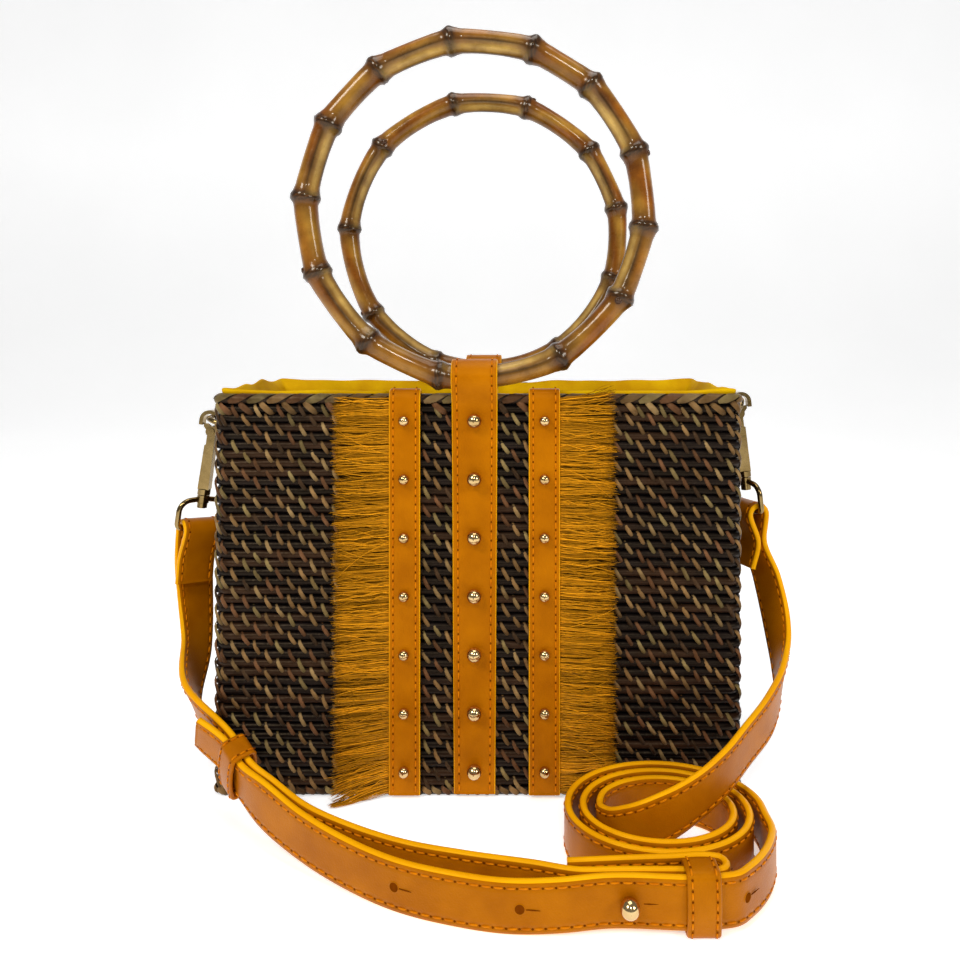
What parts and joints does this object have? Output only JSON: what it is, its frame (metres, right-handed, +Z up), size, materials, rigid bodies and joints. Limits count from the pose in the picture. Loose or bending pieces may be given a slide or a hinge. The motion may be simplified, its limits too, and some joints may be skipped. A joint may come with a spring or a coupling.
{
  "type": "basket box bag",
  "caption": "Woven box basket bag with ring handles, leather trim, stud rows, fringes and a detachable shoulder strap coiled in front.",
  "frame": {"origin": "middle of the basket's flat base, on the surface it stands on", "axes": "+Z up, -Y is the front face with the strips and studs, +X to the right seen from the front"},
  "size_m": [0.3204, 0.2006, 0.3658],
  "materials": {
    "cane": "satin",
    "lining": "matte",
    "leather": "satin",
    "fringe": "matte",
    "bamboo": "gloss",
    "gold": "polished"
  },
  "bodies": {
    "bag": {"back_rivet": "gold", "back_strap": "leather", "basket_body": "cane", "centre_studs": "gold", "fastening_screw": "gold", "fastening_stud": "gold", "floor_keeper": "leather", "front_strap": "leather", "left_fringe": "fringe", "left_strap_loop": "gold", "left_strip": "leather", "left_studs": "gold", "left_tab": "leather", "left_tab_rivet": "gold", "lining": "lining", "long_strap": "leather", "right_fringe": "fringe", "right_strap_loop": "gold", "right_strip": "leather", "right_studs": "gold", "right_tab": "leather", "right_tab_rivet": "gold", "rising_keeper": "leather", "short_strap": "leather"},
    "back_ring": {"back_ring": "bamboo"},
    "front_ring": {"front_ring": "bamboo"},
    "left_d_ring": {"left_d_ring": "gold"},
    "left_gate": {"left_gate": "gold"},
    "left_hook": {"left_gate_pin": "gold", "left_hook": "gold"},
    "right_d_ring": {"right_d_ring": "gold"},
    "right_gate": {"right_gate": "gold"},
    "right_hook": {"right_gate_pin": "gold", "right_hook": "gold"}
  },
  "joints": [
    {"name": "front_ring_tilt", "type": "hinge", "parent": "bag", "child": "front_ring", "pos_m": [-0.0015, -0.048, 0.19854], "axis": [1, 0, 0], "range_deg": [-13, 90]},
    {"name": "back_ring_tilt", "type": "hinge", "parent": "bag", "child": "back_ring", "pos_m": [-0.0015, 0.048, 0.19854], "axis": [-1, 0, 0], "range_deg": [-13, 90]},
    {"name": "left_d_ring_swing", "type": "hinge", "parent": "bag", "child": "left_d_ring", "pos_m": [-0.1284, 0, 0.17], "axis": [0, 1, 0], "range_deg": [-6, 0.5]},
    {"name": "left_hook_swivel", "type": "hinge", "parent": "bag", "child": "left_hook", "pos_m": [-0.15155, -0.003, 0.11654], "axis": [0.1392, 0, 0.9903], "range_deg": [-15, 15]},
    {"name": "left_gate_open", "type": "hinge", "parent": "left_hook", "child": "left_gate", "pos_m": [-0.14437, -0.003, 0.16764], "axis": [0, 1, 0], "range_deg": [0, 25], "stiffness_Nm_per_rad": 0.002, "springref_deg": -5.73},
    {"name": "right_d_ring_swing", "type": "hinge", "parent": "bag", "child": "right_d_ring", "pos_m": [0.1284, 0, 0.17], "axis": [0, -1, 0], "range_deg": [-4, 1]},
    {"name": "right_hook_swivel", "type": "hinge", "parent": "bag", "child": "right_hook", "pos_m": [0.14204, -0.003, 0.12607], "axis": [-0.1045, 0, 0.9945], "range_deg": [-15, 15]},
    {"name": "right_gate_open", "type": "hinge", "parent": "right_hook", "child": "right_gate", "pos_m": [0.13665, -0.003, 0.17739], "axis": [0, -1, 0], "range_deg": [0, 25], "stiffness_Nm_per_rad": 0.002, "springref_deg": -5.73}
  ]
}
